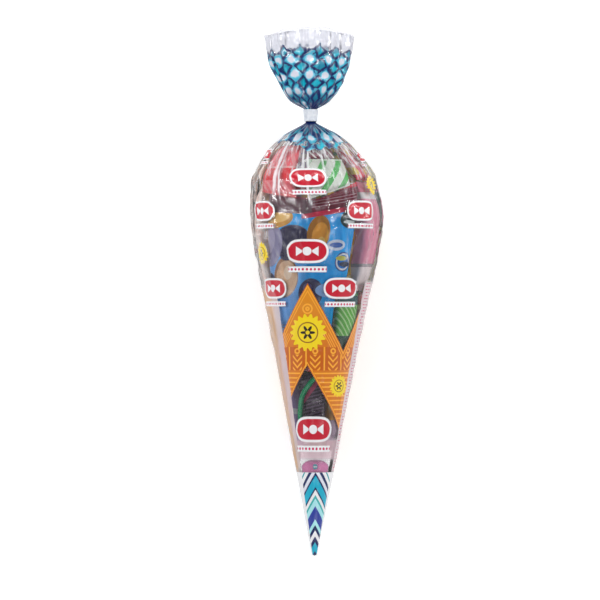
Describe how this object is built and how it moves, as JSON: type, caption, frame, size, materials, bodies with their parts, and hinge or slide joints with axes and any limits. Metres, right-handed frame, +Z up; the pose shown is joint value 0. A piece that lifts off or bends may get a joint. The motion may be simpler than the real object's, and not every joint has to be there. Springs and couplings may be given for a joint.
{
  "type": "candy cone",
  "caption": "Cone bag of printed clear film filled with wrapped sweets, gathered under a tape band, with the open film fanned out above as a ruffle.",
  "frame": {"origin": "on the surface that the pack rests on, under the middle of its bounding box", "axes": "+Y along the pack from the cone's tip to the ruffle, +Z up, out of the printed front, +X across the pack"},
  "size_m": [0.1101, 0.45, 0.107],
  "materials": {
    "film": "clear printed film, crinkled",
    "tape": "satin adhesive tape",
    "blue_foil": "glossy metallised film",
    "pink_foil": "glossy film",
    "yellow_foil": "glossy film",
    "apricot_foil": "glossy film",
    "silver_foil": "glossy metallised film",
    "cola_film": "glossy film",
    "green_film": "glossy film",
    "orange_wax": "waxed paper",
    "lime_wax": "waxed paper",
    "violet_wax": "waxed paper",
    "dark_film": "glossy film",
    "red_film": "glossy film",
    "mint_film": "glossy film",
    "lemon_film": "glossy film",
    "berry_film": "glossy film",
    "peach_film": "glossy film",
    "toffee_wax": "waxed paper",
    "green_sugar": "soft sour candy",
    "blue_sugar": "hard sugar shell",
    "pink_sugar": "soft chewing gum",
    "red_sugar": "boiled sugar",
    "stick": "rolled paper stick"
  },
  "bodies": {
    "root": {"film_bag": "film", "neck_tape": "tape", "blue_snack_packet": "blue_foil", "pink_wafer_packet": "pink_foil", "yellow_corn_packet": "yellow_foil", "apricot_packet": "apricot_foil", "puffs_packet": "silver_foil", "cola_packet": "cola_film", "green_jelly_packet": "green_film", "orange_chew_packet": "orange_wax", "lime_chew_packet": "lime_wax", "violet_chew_packet": "violet_wax", "liquorice_packet": "dark_film", "red_bonbon": "red_film", "red_chew_packet": "red_film", "cherry_packet": "red_film", "green_mint_packet": "mint_film", "lemon_packet": "lemon_film", "berry_packet": "berry_film", "peach_packet": "peach_film", "striped_toffee": "toffee_wax", "green_candy_tube": "green_sugar", "gum_ball": "blue_sugar", "pink_gum": "pink_sugar", "lollipop_head": "red_sugar", "lollipop_stick": "stick"}
  },
  "joints": []
}
